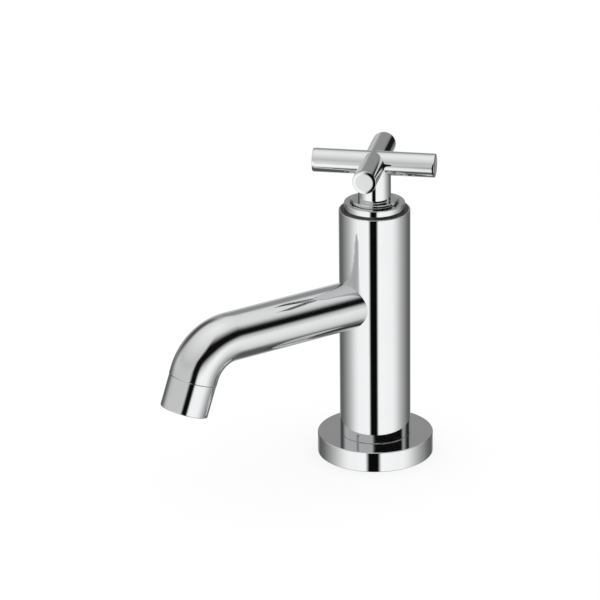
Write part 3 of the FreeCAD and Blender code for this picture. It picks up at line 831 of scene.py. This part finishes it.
def buildSpout():
    size = spoutSize
    shoulder = size["Level"] + size["Bend"] + size["tail"]
    end = shoulder + size["threadLength"]
    core = size["threadRadius"] - size["threadDepth"]
    bendRings = [size["Level"] + size["Bend"] * ring / size["bendRings"] for ring in range(size["bendRings"] + 1)]
    stations = size["levelRings"] + bendRings
    outside = [(size["radius"], station, 0) for station in stations]
    inside = [(size["bore"], station, 0) for station in stations[::-1]]
    shape = turnedShape([
        *outside, (size["radius"], shoulder, size["edge"]), *threadRings(core, shoulder, end, size["threadPitch"]),
        (size["bore"], end, 0), *inside], size["sides"])
    shape = woundShape(shape, {
        "Root": core, "Crest": size["threadRadius"], "Pitch": size["threadPitch"],
        "Start": shoulder + size["threadEnds"], "End": end - size["threadEnds"]})
    piece = makePiece("spoutTube", shape, "chrome", trueNormals=False)
    runTree(piece, spoutTree(), size, "chrome")
    piece.data.set_sharp_from_angle(angle=math.radians(30))
    finishPiece(piece, "tap_body", "chrome", "spout_tube")


# Aerator housing, placed at the end of the spout

housingSize = {"radius": 12.27, "length": 16.8, "bore": 11.1, "lip": 9.9, "lipThickness": 1.4, "seam": 0.12,
               "topEdge": 0.2, "edge": 0.45, "sides": 144, "place": (0, -111.855, 66.821)}
outletPlace = (Matrix.Translation(housingSize["place"])
               @ Matrix.Rotation(math.radians(90 + spoutSize["Angle"]), 4, "X"))


def buildHousing():
    size = housingSize
    lipTop = size["length"] - size["lipThickness"]
    shape = turnedShape([
        (size["bore"], size["seam"], 0.1),
        (size["radius"], size["seam"], size["topEdge"]),
        (size["radius"], size["length"], size["edge"]),
        (size["lip"], size["length"], 0.25),
        (size["lip"], lipTop, 0),
        (size["bore"], lipTop, 0),
    ], size["sides"])
    piece = makePiece("aeratorHousing", shape, "chrome", outletPlace)
    finishPiece(piece, "tap_body", "chrome", "aerator_housing")


# Cross handle

handleSize = {
    "rodRadius": 6.15, "rodLength": 63.0, "axis": 158.3, "edge": 0.22, "rollAngle": 12.0, "sideRoll": 5.0,
    "faceRoll": 8.0, "gap": 0.02, "spigot": 2.5, "spigotGap": 0.05, "reach": 1.5,
    "discRadius": 12.0, "discTop": 139.1, "discBottom": 135.5, "discEdge": 0.45, "stemRadius": 8.45,
    "socket": 5.9, "socketTop": 151.15, "socketBottom": 137.45, "footBore": 7.6,
    "screwRadius": 2.05, "screwHeight": 145.55, "screwStart": 1.0, "screwEnd": 12.0, "sides": 128,
}


def rodEnd():
    # Half a rod's profile, from its middle to the centre of its end. Polishing has rolled the edge off a little.
    size = handleSize
    radius, end, roll = size["rodRadius"], size["rodLength"] / 2, size["rollAngle"]
    side, face, edge = size["sideRoll"], size["faceRoll"], size["edge"]
    sine, cosine = math.sin(math.radians(roll)), math.cos(math.radians(roll))
    # The edge's own arc meets the long arc of the side and the long arc of the end without a kink.
    edgeRadius = radius - side * (1 - cosine) - edge * cosine
    edgeHeight = end - face * (1 - cosine) - edge * cosine
    sideCentre = (radius - side, edgeHeight + edge * sine - side * sine)
    faceCentre = (edgeRadius + edge * sine - face * sine, end - face)
    return (arcCorners(sideCentre, side, 0, roll) + arcCorners((edgeRadius, edgeHeight), edge, roll, 90 - roll, 5)
            + arcCorners(faceCentre, face, 90 - roll, 90) + [(0, end, 0)])


def laid(shape, turn):
    # Lays a shape made along Z down at the rods' height, along the direction at the angle turn.
    return movedShape(shape, Matrix.Translation((0, 0, handleSize["axis"]))
                      @ Matrix.Rotation(math.radians(turn), 4, "Z") @ Matrix.Rotation(math.radians(90), 4, "Y"))


def buildHandle():
    size = handleSize
    sides, radius, reach = size["sides"], size["rodRadius"], size["rodLength"]
    saddle = plainRod(radius + size["gap"], -reach, reach, sides)
    # The hub: foot disc, stem and the two saddles that carry the rods.
    hub = turnedShape([
        (size["footBore"], size["discBottom"], 0.1),
        (size["discRadius"], size["discBottom"], 0.3),
        (size["discRadius"], size["discTop"], size["discEdge"]),
        (size["stemRadius"], size["discTop"], 0.25),
        (size["stemRadius"], size["axis"], 0),
        (0, size["axis"], 0),
        (0, size["socketTop"], 0),
        (size["socket"], size["socketTop"], 0.2),
        (size["socket"], size["socketBottom"], 0.1),
        (size["footBore"], size["socketBottom"], 0),
    ], sides)
    screwHole = plainRod(size["screwRadius"], size["screwStart"], size["screwEnd"], 32)
    screwPlace = Matrix.Translation((0, 0, size["screwHeight"])) @ Matrix.Rotation(math.radians(-90), 4, "X")
    hub = combineShapes("DIFFERENCE", hub, laid(saddle, 45), laid(saddle, -45), movedShape(screwHole, screwPlace))
    finishPiece(makePiece("handleHub", hub, "handle_chrome"), "handle", "handle_chrome", "handle_hub")
    end = rodEnd()
    otherEnd = [(corner[0], -corner[1], *corner[2:3], *[(centre[0], -centre[1]) for centre in corner[3:]])
                for corner in end[::-1]]
    # The long rod goes right through, and the short ones are coped round it and held by spigots.
    crossHole = plainRod(size["spigot"] + size["spigotGap"], -reach, reach, 48)
    longRod = combineShapes("DIFFERENCE", laid(turnedShape(end + otherEnd, sides), 45), laid(crossHole, -45))
    piece = makePiece("longRod", longRod, "handle_chrome")
    finishPiece(piece, "handle", "handle_chrome", "handle_long_rod")
    half = laid(turnedShape([(0, 0, 0), (radius, 0, 0)] + end, sides), -45)
    half = combineShapes("DIFFERENCE", half, laid(saddle, 45))
    spigot = plainRod(size["spigot"], size["spigotGap"], radius + size["reach"], 48)
    half = combineShapes("UNION", half, laid(spigot, -45))
    across = movedShape(half, Matrix.Rotation(math.pi, 4, "Z"))
    both = ([*half[0], *across[0]], [*half[1], *[[len(half[0]) + place for place in face] for face in across[1]]],
            [*half[2], *across[2]])
    piece = makePiece("shortRods", both, "handle_chrome")
    finishPiece(piece, "handle", "handle_chrome", "handle_short_rods")


# Column

columnSize = {  # a groove is its radius, bottom and top, and so is the passage
    "radius": 18.33, "top": 133.5, "bottom": 10.85, "topEdge": 0.4, "footEdge": 0.3, "spigot": 15.5,
    "headBore": 15.23, "ledge": 119.0, "bore": 14.23, "footTop": 24.0, "riserBore": 6.1, "riserFloor": 17.0,
    "footGroove": (14.28, 8.78, 10.32), "riserGroove": (7.48, 19.65, 21.35), "passage": (3.5, 6.0, 16.0),
    "chamber": 5.0, "chamberFloor": 14.5, "spoutHole": 12.46, "spoutAxis": 84.4, "sides": 192,
}
inletSize = {"Root": 4.459, "Crest": 5.0, "Pitch": 1.0, "Start": 1.0, "End": 12.4, "depth": 13.0, "point": 0.0,
             "y": 5.0}
studSize = {"Root": 3.4, "Crest": 4.0, "Pitch": 1.25, "Start": 1.0, "End": 11.2, "depth": 12.0, "point": 2.04,
            "y": -9.0}


def tappedHole(size):
    # What the drill and the tap take away, from below, with a countersink at the mouth.
    shape = turnedShape([
        (0, -1.0, 0),
        (size["Crest"] + 1.3, -1.0, 0),
        (size["Root"] - 0.02, size["Crest"] - size["Root"] + 0.32, 0),
        *threadRings(size["Root"], 0.9, size["depth"], size["Pitch"]),
        (0, size["depth"] + size["point"], 0),
    ], 48)
    return movedShape(woundShape(shape, size), Matrix.Translation((0, size["y"], 0)))


def buildColumn():
    size = columnSize
    spigot, bore = size["spigot"], size["riserBore"]
    footRadius, footBottom, footTop = size["footGroove"]
    riserRadius, riserBottom, riserTop = size["riserGroove"]
    column = turnedShape([
        (0, 0, 0),
        (spigot, 0, 0.3),
        (spigot, footBottom, 0),
        (footRadius, footBottom, 0.1),
        (footRadius, footTop, 0.1),
        (spigot, footTop, 0),
        (spigot, size["bottom"], 0),
        (size["radius"], size["bottom"], size["footEdge"]),
        (size["radius"], size["top"], size["topEdge"]),
        (size["headBore"], size["top"], 0.3),
        (size["headBore"], size["ledge"], 0),
        (size["bore"], size["ledge"], 0.2),
        (size["bore"], size["footTop"], 0.5),
        (bore, size["footTop"], 0.4),
        (bore, riserTop, 0),
        (riserRadius, riserTop, 0.1),
        (riserRadius, riserBottom, 0.1),
        (bore, riserBottom, 0),
        (bore, size["riserFloor"], 0),
        (size["chamber"], size["riserFloor"], 0),
        (size["chamber"], size["chamberFloor"], 0),
        (0, size["chamberFloor"], 0),
    ], size["sides"])
    spoutPlace = Matrix.Translation((0, 0, size["spoutAxis"])) @ Matrix.Rotation(math.radians(90), 4, "X")
    spoutHole = movedShape(plainRod(size["spoutHole"], 0.0, 40.0, 144), spoutPlace)
    passage = movedShape(plainRod(*size["passage"], 48), Matrix.Translation((0, inletSize["y"], 0)))
    column = combineShapes("DIFFERENCE", column, spoutHole, passage, tappedHole(inletSize), tappedHole(studSize))
    finishPiece(makePiece("columnBody", column, "chrome"), "tap_body", "chrome", "column_body")


# Base gasket, with concentric ribs on its underside

gasketSize = {"inner": 15.8, "outer": 26.85, "thickness": 3.0, "edge": 0.25, "sides": 128, "ringsPerRib": 10,
              "First": 17.6, "Last": 25.1, "Pitch": 1.5, "Depth": 0.55}


def gasketTree():
    tree, given = newTree("ribGasket", "First", "Last", "Pitch", "Depth")
    axes = readAxes(tree)
    away = awayFromZ(axes)
    phase = divide(subtract(away, given["First"]), given["Pitch"])
    wave = calculate("COSINE", multiply(phase, 2 * math.pi))
    rise = multiply(calculate("MULTIPLY_ADD", wave, -0.5, 0.5), given["Depth"])
    below = calculate("LESS_THAN", axes[2], near["weld"] * millimetre)
    chosen = multiply(below, between(away, given["First"], given["Last"]))
    return endTree(movePoints(given["Geometry"], Selection=chosen, Offset=combine(Z=rise)), given)


def buildGasket():
    size = gasketSize
    steps = round((size["Last"] - size["First"]) / size["Pitch"] * size["ringsPerRib"])
    underside = [(size["First"] + (size["Last"] - size["First"]) * step / steps, 0, 0) for step in range(steps + 1)]
    shape = turnedShape([
        (size["inner"], size["thickness"], size["edge"]),
        (size["inner"], 0, size["edge"]),
        *underside,
        (size["outer"], 0, size["edge"]),
        (size["outer"], size["thickness"], size["edge"]),
    ], size["sides"])
    piece = makePiece("baseGasket", shape, "base_rubber", trueNormals=False)
    runTree(piece, gasketTree(), size, "base_rubber")
    piece.data.set_sharp_from_angle(angle=math.radians(40))
    finishPiece(piece, "tap_body", "base_rubber", "base_gasket")


# Rubber seal cords. The radius is to the cord's middle, and the height is that of the lowest.

sealSizes = {
    "footSeal": {"Radius": 14.94, "Cord": 1.24, "Height": 9.55, "Number": 1,
                 "body": "tap_body", "node": "foot_o_ring"},
    "riserSeals": {"Radius": 6.74, "Cord": 1.40, "Height": 20.5, "Number": 2, "Spacing": 77.0,
                   "body": "tap_body", "node": "riser_o_rings"},
    "holderSeal": {"Radius": 14.44, "Cord": 1.50, "Height": 122.0, "Number": 1,
                   "body": "tap_body", "node": "holder_o_ring"},
    "spindleSeals": {"Radius": 4.61, "Cord": 1.20, "Height": 122.85, "Number": 2, "Spacing": 4.0,
                     "body": "handle", "node": "spindle_o_rings"},
}


def sealTree():
    tree, given = newTree("layCords", "Radius", "Cord", "Height", "Number", "Spacing")
    row = rowAlong("Z", given["Number"], given["Height"], given["Spacing"])
    cord = roundBar(circle(96, given["Radius"]), 16, given["Cord"])
    return endTree(placeOn(row, cord), given)


def buildSeals():
    tree = sealTree()
    for name, size in sealSizes.items():
        piece = makePiece(name, ([Vector()], [], []), "seal_rubber", trueNormals=False)
        runTree(piece, tree, size, "seal_rubber")
        finishPiece(piece, size["body"], "seal_rubber", size["node"])


# Woven screen of the aerator

screenSize = {"Radius": 10.71, "Pitch": 0.9, "Wire": 0.17, "Swing": 0.1, "Rim": 0.36, "place": 7.9,
              "thickness": 0.4}


def screenTree():
    tree, given = newTree("weaveScreen", "Radius", "Pitch", "Wire", "Swing", "Rim")
    pitch = given["Pitch"]
    # A row of wires along X, each as long as the round screen is wide there.
    reach = calculate("FLOOR", divide(given["Radius"], pitch))
    count = calculate("MULTIPLY_ADD", reach, 2.0, 1.0)
    row = rowAlong("Y", count, multiply(reach, pitch, -1.0), pitch)
    axes = readAxes(tree)
    square = subtract(calculate("POWER", given["Radius"], 2.0), calculate("POWER", axes[1], 2.0))
    chord = calculate("SQRT", calculate("MAXIMUM", square, 0.0))
    wire = addNode(tree, "GeometryNodeCurvePrimitiveLine", {"Start": (-1, 0, 0), "End": (1, 0, 0)}).outputs[0]
    placed = placeOn(row, wire, Scale=combine(X=chord, Y=1.0, Z=1.0))
    wires = addNode(tree, "GeometryNodeRealizeInstances", {0: placed}).outputs[0]
    sockets = {"Curve": wires, "Length": multiply(pitch, 0.25)}
    fine = addNode(tree, "GeometryNodeResampleCurve", sockets, mode="LENGTH")
    # Each wire swings over one crossing wire and under the next.
    along = calculate("COSINE", multiply(divide(axes[0], pitch), math.pi))
    side = calculate("COSINE", multiply(calculate("ROUND", divide(axes[1], pitch)), math.pi))
    waved = movePoints(fine.outputs[0], Offset=combine(Z=multiply(along, side, given["Swing"])))
    warp = roundBar(waved, 5, given["Wire"], caps=True)
    # The crossing wires are the same row, turned over a quarter turn.
    weft = addNode(tree, "GeometryNodeTransform", {"Geometry": warp, "Rotation": (math.pi, 0, math.pi / 2)})
    rim = roundBar(circle(96, given["Radius"]), 8, given["Rim"])
    whole = addNode(tree, "GeometryNodeJoinGeometry")
    for part in (warp, weft.outputs[0], rim):
        tree.links.new(part, whole.inputs[0])
    smooth = addNode(tree, "GeometryNodeSetShadeSmooth", {"Geometry": whole.outputs[0]})
    return endTree(smooth.outputs[0], given)


def buildScreen():
    size = screenSize
    piece = makePiece("wovenScreen", ([Vector()], [], []), "steel", trueNormals=False)
    runTree(piece, screenTree(), size, "steel")
    lift = outletPlace @ Matrix.Translation((0, 0, size["place"] + size["thickness"] / 2))
    lift.translation *= millimetre
    piece.data.transform(lift)
    finishPiece(piece, "tap_body", "steel", "aerator_screen")


for build in (buildFlange, buildGasket, buildColumn, buildSpout, buildHousing, buildScreen, buildCover, buildHandle,
              buildSeals):
    build()
    print("made:", build.__name__[5:].lower())
